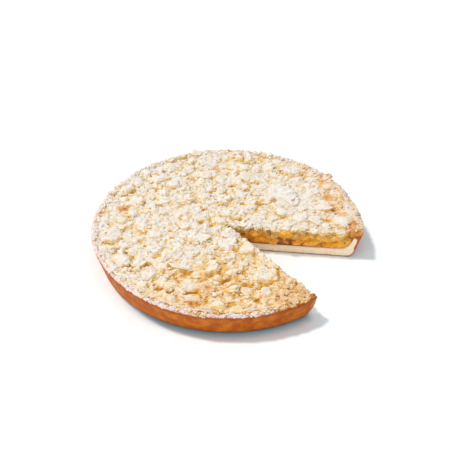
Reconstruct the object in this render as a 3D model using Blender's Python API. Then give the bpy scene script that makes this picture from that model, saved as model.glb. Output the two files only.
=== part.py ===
"""Apple crumble pie with one eighth cut out, as three closed solids.

Metres, +Z up. The origin is the centre of the round base, on the face it rests on.
Angles run anticlockwise from +X, seen from above.
"""

import math

import bpy
import bmesh
import numpy as np
from mathutils import Vector, noise

for old in list(bpy.data.objects):
    bpy.data.objects.remove(old, do_unlink=True)

MM = 0.001

# Driving sizes of the whole pie
RIM_RADIUS = 135 * MM
FLOOR_RADIUS = 127 * MM
RIM_HEIGHT = 28.4 * MM
BASE_THICK = 8.5 * MM
RIM_THICK = 6.8 * MM
FILLING_TOP = 19.6 * MM
CRUMBLE_EDGE = 26.6 * MM
CRUMBLE_MIDDLE = 27.8 * MM
GAP = 0.32 * MM

# The missing slice runs from FRONT_CUT to REAR_CUT
FRONT_CUT = -51.8
REAR_CUT = -6.7
CUT_MIDDLE = math.radians((FRONT_CUT + REAR_CUT) / 2)
HALF_SLICE = math.radians((REAR_CUT - FRONT_CUT) / 2)
KEPT = 360 - (REAR_CUT - FRONT_CUT)

# How far the soft layers stand back from the cut
FILLING_BACK = 1.0 * MM
CRUMBLE_BACK = 2.0 * MM

SEED = 41


def wave(x, y, size, shift):
    """Smooth noise between about -1 and 1, with features of the given size."""
    return noise.noise(Vector((x / size + shift, y / size - shift, 0.37 * shift)))


def rim_swell(angle):
    """How far the baked rim strays from a true circle at this angle in degrees."""
    left = (angle - 180 + 180) % 360 - 180
    bulge = 1.2 * math.cos(math.radians(5 * left)) * math.exp(-((left / 40) ** 2))
    return (bulge + 0.9 * noise.noise(Vector((angle / 21, 3.1, 0.4)))) * MM


def sweep(name, rows, angles, centre=(0.0, 0.0), place=None):
    """A closed solid swept round an upright axis, open where a slice is missing.

    rows[k][i] is (radius, height) of row k, bottom to top, at station i, out from
    the axis. Every angle has the bottom row, the outer end of each row and the top
    row. Both ends are filled with the whole grid, and the axis is shared.
    """
    last, out = len(rows) - 1, len(rows[0]) - 1
    points, faces, index = [], [], {}

    def vertex(j, k, i):
        key = (0, k, 0) if i == 0 else (j, k, i)
        if key not in index:
            radius, height = rows[k][i]
            turn = math.radians(angles[j])
            x = centre[0] + radius * math.cos(turn)
            y = centre[1] + radius * math.sin(turn)
            spot = (x, y, height)
            index[key] = len(points)
            points.append(place(spot, j, k, i) if place else spot)
        return index[key]

    def face(*keys):
        ring = [vertex(*key) for key in keys]
        ring = [v for n, v in enumerate(ring) if v != ring[n - 1]]
        faces.extend((ring[0], ring[n], ring[n + 1]) for n in range(1, len(ring) - 1))

    for j in range(len(angles) - 1):
        for i in range(out):
            face((j, 0, i), (j + 1, 0, i), (j + 1, 0, i + 1), (j, 0, i + 1))
            face((j, last, i), (j, last, i + 1), (j + 1, last, i + 1), (j + 1, last, i))
        for k in range(last):
            face((j, k, out), (j + 1, k, out), (j + 1, k + 1, out), (j, k + 1, out))
    end = len(angles) - 1
    for k in range(last):
        for i in range(out):
            face((0, k, i), (0, k, i + 1), (0, k + 1, i + 1), (0, k + 1, i))
            face((end, k, i), (end, k + 1, i), (end, k + 1, i + 1), (end, k, i + 1))
    return solid(name, points, faces)


def solid(name, points, faces):
    mesh = bpy.data.meshes.new(name)
    mesh.from_pydata([tuple(p) for p in points], [], faces)
    made = bpy.data.objects.new(name, mesh)
    bpy.context.scene.collection.objects.link(made)
    return made


def spread(start, end, step):
    """Angles from start to end, evenly, about step apart."""
    return list(np.linspace(start, end, int(round((end - start) / step)) + 1))


def boolean(target, others, operation):
    """Joins or cuts target with others, applies it, and removes the others."""
    helpers = bpy.data.collections.new("helpers")
    bpy.context.scene.collection.children.link(helpers)
    for other in others:
        helpers.objects.link(other)
        bpy.context.scene.collection.objects.unlink(other)
    step = target.modifiers.new(operation.lower(), "BOOLEAN")
    step.operation = operation
    step.operand_type = "COLLECTION"
    step.collection = helpers
    step.solver = "MANIFOLD"
    bpy.context.view_layer.update()
    graph = bpy.context.evaluated_depsgraph_get()
    result = bpy.data.meshes.new_from_object(target.evaluated_get(graph))
    target.modifiers.clear()
    target.data = result
    for other in others:
        bpy.data.objects.remove(other, do_unlink=True)
    bpy.data.collections.remove(helpers)


def tidy(target):
    """Keeps the largest shell only, made of triangles."""
    mesh = bmesh.new()
    mesh.from_mesh(target.data)
    bmesh.ops.triangulate(mesh, faces=mesh.faces)
    left, shells = set(mesh.faces), []
    while left:
        grow = [left.pop()]
        shell = list(grow)
        while grow:
            for edge in grow.pop().edges:
                for face in edge.link_faces:
                    if face in left and len(edge.link_faces) == 2:
                        left.remove(face)
                        grow.append(face)
                        shell.append(face)
        shells.append(shell)
    shells.sort(key=len)
    for scrap in shells[:-1]:
        bmesh.ops.delete(mesh, geom=scrap, context="FACES")
    bmesh.ops.recalc_face_normals(mesh, faces=mesh.faces)
    mesh.to_mesh(target.data)
    mesh.free()


# The crust: flat base, rounded lower edge, flared wall and rounded rim
def crust_rows(grow):
    bottom = [
        (0, 0),
        (FLOOR_RADIUS - 5.5 * MM, 0),
        (FLOOR_RADIUS - 0.9 * MM, 1.5 * MM),
        (FLOOR_RADIUS + 1.5 * MM, 5.2 * MM),
        (RIM_RADIUS - 0.8 * MM, RIM_HEIGHT - 4.2 * MM),
        (RIM_RADIUS, RIM_HEIGHT - 1.6 * MM),
    ]
    top = [
        (0, BASE_THICK),
        (FLOOR_RADIUS - 15 * MM, BASE_THICK),
        (FLOOR_RADIUS - 8 * MM, BASE_THICK + 2.1 * MM),
        (FLOOR_RADIUS - 4.6 * MM, BASE_THICK + 6.5 * MM),
        (RIM_RADIUS - RIM_THICK - 1.4 * MM, RIM_HEIGHT - 3.6 * MM),
        (RIM_RADIUS - RIM_THICK + 0.4 * MM, RIM_HEIGHT - 1.0 * MM),
    ]
    bottom = [(r + 2.5 * grow * (r > 0), z) for r, z in bottom]
    top = [(max(r - grow, 0), z + grow) for r, z in top]
    middle = [((a[0] + b[0]) / 2, (a[1] + b[1]) / 2) for a, b in zip(bottom, top)]
    middle[-1] = (RIM_RADIUS - 0.45 * RIM_THICK, RIM_HEIGHT + grow)
    return [bottom, middle, top]


def crust_place(spot, j, k, i):
    """Lets the wall and rim wander a little, as a baked edge does."""
    x, y, z = spot
    radius = math.hypot(x, y)
    share = min(max((z - 2 * MM) / (20 * MM), 0), 1) * (radius > 0.11)
    angle = math.degrees(math.atan2(y, x)) % 360
    swell = rim_swell(angle) * share
    lift = 0.45 * MM * wave(x, y, 0.031, 7.7) * share
    return (x * (1 + swell / max(radius, 0.01)), y * (1 + swell / max(radius, 0.01)), z + lift)


KEPT_ANGLES = spread(REAR_CUT, REAR_CUT + KEPT, 4.8)
crust = sweep("crust", crust_rows(0), KEPT_ANGLES, place=crust_place)


def crust_cutter():
    wide = spread(REAR_CUT - 4.5, REAR_CUT + KEPT + 4.5, 9.6)
    return sweep("crust_cutter", crust_rows(GAP + 0.1 * MM), wide, place=crust_place)


def away(depth):
    """Where a layer's own middle goes when both its faces stand back from the cut."""
    shift = -depth / math.sin(HALF_SLICE)
    return (shift * math.cos(CUT_MIDDLE), shift * math.sin(CUT_MIDDLE))


def layer_rows(bottom, top, radii, rows):
    levels = [bottom + (top - bottom) * k / rows for k in range(rows + 1)]
    return [[(r, z) for r in radii] for z in levels]


def cut_angles(step):
    inside = spread(REAR_CUT + 4, REAR_CUT + KEPT - 4, step)
    return [REAR_CUT] + inside + [REAR_CUT + KEPT]


def chunk(name, x, y, z, size, turn, facets, rough, seed):
    """A lump of the given width, length and height, with 20, 36 or 80 rough faces."""
    made = bmesh.new()
    if facets == 36:
        bmesh.ops.create_uvsphere(made, u_segments=6, v_segments=4, radius=1)
    else:
        bmesh.ops.create_icosphere(made, subdivisions=1 + (facets > 36), radius=1)
    co, si = math.cos(turn), math.sin(turn)
    for v in made.verts:
        way = v.co.normalized()
        bump = 1 + rough * noise.noise(way * 1.7 + Vector((seed * 3.3, seed * 1.7, seed)))
        boxy = 1 / max(abs(way.x), abs(way.y), abs(way.z)) ** 0.35
        px, py, pz = way.x * bump * boxy, way.y * bump * boxy, way.z * bump * boxy
        px, py, pz = px * size[0] / 2.2, py * size[1] / 2.2, pz * size[2] / 2.2
        v.co = (x + px * co - py * si, y + px * si + py * co, z + pz)
    mesh = bpy.data.meshes.new(name)
    made.to_mesh(mesh)
    made.free()
    lump = bpy.data.objects.new(name, mesh)
    bpy.context.scene.collection.objects.link(lump)
    return lump


# The apple filling: a soft layer with apple pieces where the two cuts pass through
def filling_top(x, y):
    return (0.9 * wave(x, y, 0.028, 2.2) + 0.5 * wave(x, y, 0.012, 5.5)) * MM


def filling_core(grow):
    radii = [0, 25, 50, 75, 98, 115, 129]
    rows = layer_rows(BASE_THICK - 1.5 * MM, FILLING_TOP + grow, [r * MM for r in radii], 2)

    def place(spot, j, k, i):
        x, y, z = spot
        if k == 2:
            z += filling_top(x, y)
        return (x, y, z)

    back = FILLING_BACK - grow
    return sweep("apple_filling", rows, cut_angles(10), away(back), place)


# Apple pieces: distance from the middle, how far they stand out of the cut, height of
# their middle, then width along the cut, depth and height. All in millimetres.
REAR_APPLES = [
    (13, 0.2, 19.2, 16, 11, 11),
    (29, 0.9, 18.8, 19, 12, 12.5),
    (43, -0.4, 17.0, 9, 9, 10),
    (55, 0.7, 19.6, 16, 12, 10.5),
    (70, -0.2, 16.2, 14, 11, 9),
    (86, 0.5, 18.2, 17, 12, 11),
    (103, 0.0, 16.6, 15, 11, 10),
    (115, 0.6, 18.0, 11, 10, 11),
]
FRONT_APPLES = [
    (11, 0.5, 18.4, 15, 11, 11),
    (27, 0.0, 16.6, 14, 10, 9),
    (42, 0.8, 18.6, 16, 12, 11),
    (60, -0.1, 16.4, 17, 11, 9),
    (77, 0.6, 18.0, 15, 12, 10.5),
    (94, 0.1, 16.8, 16, 11, 9.5),
    (111, 0.8, 17.4, 14, 11, 11),
]


def apple_pieces(grow):
    made = []
    for angle, side, pieces in ((REAR_CUT, 1, REAR_APPLES), (FRONT_CUT, -1, FRONT_APPLES)):
        turn = math.radians(angle)
        for n, (out, proud, height, wide, deep, tall) in enumerate(pieces):
            inside = (deep / 2 - proud - 0.8) * MM
            x = out * MM * math.cos(turn) - side * inside * math.sin(turn)
            y = out * MM * math.sin(turn) + side * inside * math.cos(turn)
            size = [s * MM + 3 * grow for s in (wide, deep, tall)]
            lean = turn + 0.25 * math.sin(2.7 * n + side)
            made.append(
                chunk("apple", x, y, height * MM, size, lean, 36, 0.22, 50 + n + 20 * side)
            )
    return made


filling = filling_core(0)
boolean(filling, apple_pieces(0), "UNION")
boolean(filling, [crust_cutter()], "DIFFERENCE")
tidy(filling)


# The crumble: a rough bed, with clumps and lumps sunk into it
def crumble_height(x, y):
    """Height of the bed between the lumps."""
    radius = math.hypot(x, y)
    share = min(radius / (0.93 * RIM_RADIUS), 1.0)
    base = CRUMBLE_MIDDLE + (CRUMBLE_EDGE - CRUMBLE_MIDDLE) * share**3
    turn = math.radians(FRONT_CUT)
    behind = x * math.sin(turn) - y * math.cos(turn)
    worn = max(0.0, 1 - abs(behind) / (15 * MM)) * (x > 0) * share**2
    base -= 2.6 * MM * worn
    return base + (1.6 * wave(x, y, 0.024, 1.3) + 1.0 * wave(x, y, 0.009, 4.1)) * MM


def crumble_core():
    radii = [0, 14, 29, 44, 59, 74, 89, 103, 116, 129.5]
    rows = layer_rows(FILLING_TOP - 4 * MM, CRUMBLE_EDGE, [r * MM for r in radii], 2)
    angles = cut_angles(9)

    def place(spot, j, k, i):
        x, y, z = spot
        if k == 2:
            z = crumble_height(x, y)
        if i and angles[j] in (angles[0], angles[-1]):
            turn = math.radians(angles[j])
            slip = 1.3 * MM * noise.noise(Vector((0.13 * i * 14, 0.9 * k, angles[j])))
            x, y = x - slip * math.sin(turn), y + slip * math.cos(turn)
        return (x, y, z)

    return sweep("crumble", rows, angles, away(CRUMBLE_BACK), place)


# The clumps that stand out: x, y, width, depth and turn in degrees, in millimetres
CLUMPS = [
    (20, -37, 13, 15, -50),
    (3, -15, 18, 12, 10),
    (-1, -32, 18, 13, -20),
    (-71, 79, 17, 12, 30),
    (-61, 99, 13, 11, 20),
    (-23, 86, 13, 11, -10),
    (26, 80, 26, 13, 5),
    (-71, -37, 15, 16, 40),
    (-33, -18, 28, 14, -15),
    (-38, -1, 18, 11, 0),
    (-27, 14, 16, 12, 0),
    (-112, -18, 16, 14, 70),
    (-102, -54, 18, 12, -40),
    (-85, -58, 13, 11, 10),
    (-45, -64, 23, 12, 0),
    (-35, -94, 19, 12, 5),
    (-19, -96, 16, 14, -30),
    (-32, -110, 14, 10, -15),
    (34, -78, 28, 17, 12),
    (55, 55, 33, 26, -25),
    (82, 9, 28, 18, 12),
    (67, 97, 21, 15, -35),
    (98, 29, 16, 13, -20),
    (115, 4, 14, 14, 70),
    (104, 82, 13, 9, 38),
    (126, 3, 11, 10, 0),
    (129, -11, 13, 10, -5),
    (46, 124, 13, 9, 70),
    (-33, 126, 17, 12, 15),
    (-125, 41, 13, 8, -18),
]
SIZES = [(16.0, 38), (12.0, 58)]


def in_pie(x, y, room):
    """Whether a lump with this half width stands on the pie, not over the cut."""
    radius, angle = math.hypot(x, y), math.atan2(y, x)
    turn = (angle - CUT_MIDDLE + math.pi) % (2 * math.pi) - math.pi
    if radius > RIM_RADIUS - 6.5 * MM - 0.6 * room:
        return False
    if abs(turn) > HALF_SLICE + math.pi / 2:
        return True
    return radius * math.sin(abs(turn) - HALF_SLICE) > 0.62 * room


def lumps():
    """Every lump as x, y, width, depth, turn: the named ones, then the seeded ones."""
    made = [(x * MM, y * MM, w * MM, d * MM, math.radians(t)) for x, y, w, d, t in CLUMPS]
    rng = np.random.default_rng(SEED)
    for size, count in SIZES:
        for _ in range(count):
            best, room = None, -1.0
            for _ in range(40):
                x, y = rng.uniform(-RIM_RADIUS, RIM_RADIUS, 2)
                if not in_pie(x, y, size / 2 * MM):
                    continue
                near = min(
                    (math.hypot(x - o[0], y - o[1]) - 0.25 * (o[2] + o[3]) for o in made),
                    default=1.0,
                )
                if near > room:
                    best, room = (x, y), near
            wide, deep = size * rng.uniform(0.85, 1.2), size * rng.uniform(0.75, 1.0)
            made.append((*best, wide * MM, deep * MM, rng.uniform(0, math.pi)))
    return [(x, y, lump_height(x, y, min(w, d)), w, d, t) for x, y, w, d, t in made]


def lump_height(x, y, size):
    """How high the middle of a lump sits: sunk in the bed, or lying on the rim."""
    if math.hypot(x, y) > RIM_RADIUS - 1.5 * RIM_THICK:
        return RIM_HEIGHT + 0.1 * MM
    return min(crumble_height(x, y), 28.6 * MM) + 0.03 * size


def edge_lumps():
    """Lumps that break the edge of the crumble all along both cuts."""
    made = []
    rng = np.random.default_rng(SEED + 1)
    for angle, side in ((REAR_CUT, 1), (FRONT_CUT, -1)):
        turn = math.radians(angle)
        for out in np.arange(9, 121, 9.4):
            size = rng.uniform(7.5, 11.5) * MM
            along = (out + rng.uniform(-2, 2)) * MM
            inside = 0.42 * size - rng.uniform(-0.6, 1.2) * MM
            x = along * math.cos(turn) - side * inside * math.sin(turn)
            y = along * math.sin(turn) + side * inside * math.cos(turn)
            z = crumble_height(x, y) - rng.uniform(0.5, 3.0) * MM
            made.append((x, y, z, size, 0.85 * size, rng.uniform(0, math.pi)))
    return made


crumble = crumble_core()
clumps = []
for number, (cx, cy, cz, width, depth, turn) in enumerate(lumps() + edge_lumps()):
    on_rim = math.hypot(cx, cy) > RIM_RADIUS - 1.5 * RIM_THICK
    size = (width, depth, 0.42 * min(width, depth) + (6.0 if on_rim else 3.6) * MM)
    facets = 20 if width < 14.4 * MM else 36 if width < 22 * MM else 80
    clumps.append(chunk("clump", cx, cy, cz, size, turn, facets, 0.45, number))
boolean(crumble, clumps, "UNION")
boolean(crumble, [filling_core(GAP)], "DIFFERENCE")
boolean(crumble, apple_pieces(GAP), "DIFFERENCE")
boolean(crumble, [crust_cutter()], "DIFFERENCE")
tidy(crumble)
tidy(crust)


# Plain materials, one for each solid
def material(target, name, colour, roughness):
    made = bpy.data.materials.new(name)
    made.use_nodes = True
    shader = made.node_tree.nodes["Principled BSDF"]
    shader.inputs["Base Color"].default_value = (*colour, 1)
    shader.inputs["Roughness"].default_value = roughness
    target.data.materials.clear()
    target.data.materials.append(made)


material(crust, "baked_crust", (0.55, 0.21, 0.05), 0.6)
material(filling, "cooked_apple", (0.62, 0.33, 0.05), 0.35)
material(crumble, "sugared_crumble", (0.84, 0.68, 0.46), 0.85)
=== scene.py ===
"""Looks of the apple crumble pie with one eighth cut out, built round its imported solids."""

import math

import bmesh
import bpy
import numpy as np
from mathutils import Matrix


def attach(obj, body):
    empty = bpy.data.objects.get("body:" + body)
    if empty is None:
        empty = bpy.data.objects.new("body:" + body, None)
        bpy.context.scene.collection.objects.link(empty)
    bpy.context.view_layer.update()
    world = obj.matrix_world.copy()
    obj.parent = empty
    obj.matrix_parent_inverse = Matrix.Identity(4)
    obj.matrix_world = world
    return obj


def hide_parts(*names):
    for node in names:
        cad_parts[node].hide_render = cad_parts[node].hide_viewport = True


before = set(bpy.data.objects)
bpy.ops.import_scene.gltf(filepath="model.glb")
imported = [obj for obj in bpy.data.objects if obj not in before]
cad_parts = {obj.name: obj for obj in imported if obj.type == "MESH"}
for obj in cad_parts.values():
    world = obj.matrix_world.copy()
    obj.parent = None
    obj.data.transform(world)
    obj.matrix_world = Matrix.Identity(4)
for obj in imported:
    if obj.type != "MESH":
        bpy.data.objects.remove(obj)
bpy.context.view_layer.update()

# Camera
# The pie is seen from the front and about 38 degrees above, from far enough away that
# its far side looks only a little smaller than its near side.
MM = 0.001
AIM = np.array([-2.6, 37.8, 0.0]) * MM
CAMERA_RISE = math.radians(37.77)
CAMERA_DISTANCE = 1200 * MM
LENS, SENSOR, FARTHEST_SEEN = 92.36, 36, 20
scene = bpy.context.scene
camera = bpy.data.objects.new("camera", bpy.data.cameras.new("camera"))
camera.data.lens = LENS
camera.data.sensor_width = SENSOR
camera.data.clip_end = FARTHEST_SEEN
back = np.array([0, -math.cos(CAMERA_RISE), math.sin(CAMERA_RISE)])
camera.location = AIM + CAMERA_DISTANCE * back
camera.rotation_euler = (math.pi / 2 - CAMERA_RISE, 0, 0)
scene.collection.objects.link(camera)
scene.camera = camera

# Studio
# A white table with no edge in sight, a sun-like lamp high on the left, a weaker and softer
# one from the front left, and an even pale surround that fills the shadows.
SUN_FROM = (-0.43, 0.13, 0.89)
SUN_STRENGTH = 1.76
SUN_SOFTNESS = math.radians(8)
SUN_COLOUR = (1.0, 0.975, 0.94)
FILL_FROM = (-0.4, -0.76, 0.5)
FILL_STRENGTH = 0.5
FILL_SOFTNESS = math.radians(60)
SKY = (0.91, 0.99, 1.05)
SKY_STRENGTH = 0.62
TABLE_HALF, TABLE_DROP = 6.0, 0.2 * MM
TABLE_WHITE, TABLE_SHADE = (0.94, 0.99, 1.0, 1), (0.26, 0.53, 0.63, 1)
# Square to the front cut, and away from the slice
AWAY_FROM_SLICE = (-0.786, -0.618, 0)
scene.view_settings.view_transform = "Standard"
scene.view_settings.look = "None"

sun = bpy.data.objects.new("sun", bpy.data.lights.new("sun", "SUN"))
sun.data.energy = SUN_STRENGTH
sun.data.angle = SUN_SOFTNESS
sun.data.color = SUN_COLOUR
fill = bpy.data.objects.new("fill", bpy.data.lights.new("fill", "SUN"))
fill.data.energy = FILL_STRENGTH
fill.data.angle = FILL_SOFTNESS
for lamp, place in ((sun, SUN_FROM), (fill, FILL_FROM)):
    towards = np.array(place) / np.linalg.norm(place)
    lamp.rotation_euler = (math.acos(towards[2]), 0, math.atan2(towards[0], -towards[1]))
    scene.collection.objects.link(lamp)

world = bpy.data.worlds.new("surround")
world.use_nodes = True
world.node_tree.nodes["Background"].inputs["Color"].default_value = (*SKY, 1)
world.node_tree.nodes["Background"].inputs["Strength"].default_value = SKY_STRENGTH
scene.world = world


class Wire:
    """One output of a material's nodes. The signs +, - and * add Math nodes."""

    def __init__(self, socket):
        self.socket, self.tree = socket, socket.node.id_data

    def node(self, kind, settings=None, out=0, **sockets):
        """Adds a node: its settings, then its sockets by name (or by number, as _6)."""
        made = self.tree.nodes.new("ShaderNode" + kind)
        for key, value in (settings or {}).items():
            setattr(made, key, value)
        for key, value in sockets.items():
            socket = made.inputs[int(key[1:]) if key[0] == "_" else key.replace("_", " ")]
            if isinstance(value, Wire):
                self.tree.links.new(socket, value.socket)
            else:
                socket.default_value = value
        return Wire(made.outputs[out])

    def math(self, operation, *others):
        values = {f"_{n}": value for n, value in enumerate((self, *others))}
        return self.node("Math", {"operation": operation}, **values)

    def __add__(self, other):
        return self.math("ADD", other)

    def __sub__(self, other):
        return self.math("SUBTRACT", other)

    def __mul__(self, other):
        return self.math("MULTIPLY", other)

    def __rsub__(self, other):
        return self.node("Math", {"operation": "SUBTRACT"}, _0=other, _1=self)

    __radd__, __rmul__ = __add__, __mul__

    def band(self, low, high):
        """0 below low, 1 above high, and smooth between them."""
        ramp = {"interpolation_type": "SMOOTHSTEP"}
        return self.node("MapRange", ramp, Value=self, From_Min=low, From_Max=high)

    def mix(self, first, second):
        """The first colour where this is 0, and the second where it is 1."""
        return self.node("Mix", {"data_type": "RGBA"}, out=2, _0=self, _6=first, _7=second)

    def speckle(self, size, detail=2, rough=0.55):
        """Soft noise around 0.5, with features of this size in metres."""
        return self.node("TexNoise", out="Fac", Vector=self, Scale=1 / size, Detail=detail, Roughness=rough)


def srgb(red, green, blue):
    """A colour as picked on a screen, 0 to 255, made linear."""
    share = np.array([red, green, blue]) / 255
    linear = np.where(share > 0.04045, ((share + 0.055) / 1.055) ** 2.4, share / 12.92)
    return (*linear, 1.0)


def new_finish(name):
    """A new material, the place of each point on its piece, and its shader."""
    finish = bpy.data.materials.new(name)
    finish.use_nodes = True
    tree = finish.node_tree
    place = Wire(tree.nodes.new("ShaderNodeTexCoord").outputs["Object"])
    return finish, place, tree.nodes["Principled BSDF"]


def value_of(place, name):
    return place.node("Attribute", {"attribute_name": name}, out="Fac")


def link_finish(shader, base, roughness, height, depth):
    """Links colour, roughness and a bump of this depth in metres to the shader."""
    tree = shader.id_data
    bump = base.node("Bump", Height=height, Strength=1.0, Distance=depth)
    tree.links.new(shader.inputs["Base Color"], base.socket)
    tree.links.new(shader.inputs["Roughness"], roughness.socket)
    tree.links.new(shader.inputs["Normal"], bump.socket)


table_mesh = bpy.data.meshes.new("table")
corners = [(-1, -1), (1, -1), (1, 1), (-1, 1)]
corners = [(TABLE_HALF * x, TABLE_HALF * y, -TABLE_DROP) for x, y in corners]
table_mesh.from_pydata(corners, [], [(0, 1, 2, 3)])
table = bpy.data.objects.new("table", table_mesh)
scene.collection.objects.link(table)

# Darker, cooler paint on the table beside the wall under the rim is a painted shadow, and it also takes
# back the warm light that the crust throws there
table_paint, place, shader = new_finish("white_table")
apart = place.node("VectorMath", {"operation": "LENGTH"}, out="Value", _0=place)
dot_product = {"operation": "DOT_PRODUCT"}
past_cut = place.node("VectorMath", dot_product, out="Value", _0=place, _1=AWAY_FROM_SLICE)
under_rim = (1 - apart.band(126 * MM, 139 * MM)) * past_cut.band(-2 * MM, 8 * MM)
across = place.node("SeparateXYZ", out="X", Vector=place)
under_rim = under_rim * across.band(-125 * MM, -55 * MM)
table_with_painted_shadow = (under_rim * 0.8).mix(TABLE_WHITE, TABLE_SHADE)
table_paint.node_tree.links.new(shader.inputs["Base Color"], table_with_painted_shadow.socket)
shader.inputs["Roughness"].default_value = 0.7
table_mesh.materials.append(table_paint)

# Crust
# A baked shell of sweet dough: a flat base, a wall that flares to a rounded rim, and
# two clean cuts where the slice was taken out. Brown outside, pale where it is cut.
RIM_RADIUS, RIM_HEIGHT, RIM_THICK = 135 * MM, 28.4 * MM, 6.8 * MM
FLOOR_RADIUS, BASE_THICK = 127 * MM, 8.5 * MM
FRONT_CUT, REAR_CUT = math.radians(-51.8), math.radians(-6.7)
CUT_MIDDLE, HALF_SLICE = (FRONT_CUT + REAR_CUT) / 2, (REAR_CUT - FRONT_CUT) / 2
KEPT = 2 * math.pi - 2 * HALF_SLICE


def chance(a, b, c, seed):
    """A random value from -1 to 1 for each set of three whole numbers."""
    mixed = a * 374761393 + b * 668265263 + c * 1274126177 + seed * 974711
    mixed = (mixed ^ (mixed >> 13)) * 1103515245 & 0x7FFFFFFF
    mixed = (mixed ^ (mixed >> 15)) * 12345701 & 0x7FFFFFFF
    return (mixed >> 7) % 65536 / 32767.5 - 1


def noise(points, size, seed):
    """Value noise from -1 to 1: random values on a lattice of this size, blended by 3t^2 - 2t^3.
    Each use has a seed of its own, so that no two patterns line up."""
    spot = points / size + seed * np.array([0.37, 0.71, 0.13])
    cell = np.floor(spot).astype(np.int64)
    t = spot - cell
    t = t * t * (3 - 2 * t)
    total = np.zeros(points.shape[:-1])
    for corner in range(8):
        step = np.array([corner & 1, corner >> 1 & 1, corner >> 2])
        at = cell + step
        value = chance(at[..., 0], at[..., 1], at[..., 2], seed)
        total += value * np.where(step, t, 1 - t).prod(axis=-1)
    return total


def rough(points, size, seed, octaves=3):
    """Sum of noise at size, size/2, size/4 and so on, each half as strong as the one before."""
    return sum(noise(points, size / 2**n, seed + n) / 2**n for n in range(octaves))


def piece(name, points, faces, values, smooth=True):
    """A mesh object of these points and faces (one array of corner numbers for each face width),
    with each named value kept at the points as an attribute."""
    mesh = bpy.data.meshes.new(name)
    mesh.vertices.add(len(points))
    mesh.vertices.foreach_set("co", np.asarray(points, np.float32).ravel())
    corners = np.concatenate([part.ravel() for part in faces])
    widths = np.concatenate([np.full(len(part), part.shape[1]) for part in faces])
    mesh.loops.add(len(corners))
    mesh.loops.foreach_set("vertex_index", corners.astype(np.int32))
    mesh.polygons.add(len(widths))
    mesh.polygons.foreach_set("loop_start", (np.cumsum(widths) - widths).astype(np.int32))
    mesh.polygons.foreach_set("use_smooth", np.full(len(widths), smooth))
    mesh.update(calc_edges=True)
    mesh.validate()
    for key, value in values.items():
        layer = mesh.attributes.new(key, "FLOAT", "POINT")
        layer.data.foreach_set("value", np.asarray(value, np.float32).ravel())
    made = bpy.data.objects.new(name, mesh)
    scene.collection.objects.link(made)
    return made


def sweep(rows, angles, centre, plain_bottom=False):
    """A closed solid swept round an upright axis, open at the cut. rows[k, i] is (radius,
    height) of row k, bottom to top, at station i, out from the axis: each angle has the
    bottom row, the outer end of each row and the top row, and both ends have all rows.
    Where the axis isn't the pie's own, each row is stretched to end as far from the pie's
    middle as before: along a ray, t = -c.d + sqrt(r^2 - c.c + (c.d)^2). A plain bottom is
    one fan from the axis, and so is the lowest strip of both ends.
    Returns the points, the row, station and angle number of each, and the faces."""
    last, out = rows.shape[0] - 1, rows.shape[1] - 1
    ring = [(0, i) for i in range(out if plain_bottom else 1, out + 1)]
    ring += [(k, out) for k in range(1, last)]
    ring += [(last, i) for i in range(out, 0, -1)]
    ring = np.array(ring)
    count, turns = len(ring), len(angles)
    inner = np.array([(k, i) for k in range(1, last) for i in range(1, out)]).reshape(-1, 2)
    k = np.concatenate([np.tile(ring[:, 0], turns), np.tile(inner[:, 0], 2), np.arange(last + 1)])
    i = np.concatenate([np.tile(ring[:, 1], turns), np.tile(inner[:, 1], 2), np.zeros(last + 1, int)])
    ends = np.repeat([0, turns - 1], len(inner))
    j = np.concatenate([np.repeat(np.arange(turns), count), ends, np.zeros(last + 1, int)])
    radius, height = rows[k, i, 0], rows[k, i, 1]
    turn = angles[j]
    along, reach = centre[0] * np.cos(turn) + centre[1] * np.sin(turn), rows[k, -1, 0]
    radius = radius * (np.sqrt(reach**2 - centre[0] ** 2 - centre[1] ** 2 + along**2) - along) / reach
    points = np.stack([centre[0] + radius * np.cos(turn), centre[1] + radius * np.sin(turn), height], -1)
    a = np.arange(turns - 1)[:, None] * count + np.arange(count - 1)[None, :]
    quads = [np.stack([a, a + count, a + count + 1, a + 1], -1).reshape(-1, 4)]
    axis = turns * count + 2 * len(inner)
    start = np.arange(turns - 1) * count
    tris = [
        np.stack([np.full(turns - 1, axis), start + count, start], -1),
        np.stack([np.full(turns - 1, axis + last), start + count - 1, start + 2 * count - 1], -1),
    ]
    number = np.full((2, last + 1, out + 1), -1)
    number[:, ring[:, 0], ring[:, 1]] = np.array([[0], [(turns - 1) * count]]) + np.arange(count)
    if len(inner):
        number[:, inner[:, 0], inner[:, 1]] = turns * count + np.arange(2 * len(inner)).reshape(2, -1)
    number[:, :, 0] = axis + np.arange(last + 1)
    for end, flip in ((0, False), (1, True)):
        grid = number[end, int(plain_bottom) :]
        face = [grid[:-1, :-1], grid[:-1, 1:], grid[1:, 1:], grid[1:, :-1]]
        quads.append(np.stack(face[::-1] if flip else face, -1).reshape(-1, 4))
        if plain_bottom:
            foot, edge = number[end, 0, 0], number[end, 0, out]
            fan = np.stack([np.full(out, foot), grid[0, 1:], grid[0, :-1]], -1)
            fan = np.concatenate([fan, [[foot, edge, grid[0, out]]]])
            tris.append(fan[:, ::-1] if flip else fan)
    return points, k, i, j, [np.concatenate(quads), np.concatenate(tris)]


def cut_faces(turns, i, j):
    """Which points of a sweep lie on its two cut faces, off the axis, and each one's way round."""
    way = np.stack([-np.sin(turns[j]), np.cos(turns[j]), np.zeros(len(j))], -1)
    return ((j == 0) | (j == len(turns) - 1)) & (i > 0), way


def off_cut(x, y, cut):
    """Distance of a place from the upright plane of a cut."""
    return np.abs(x * math.sin(cut) - y * math.cos(cut))


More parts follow.
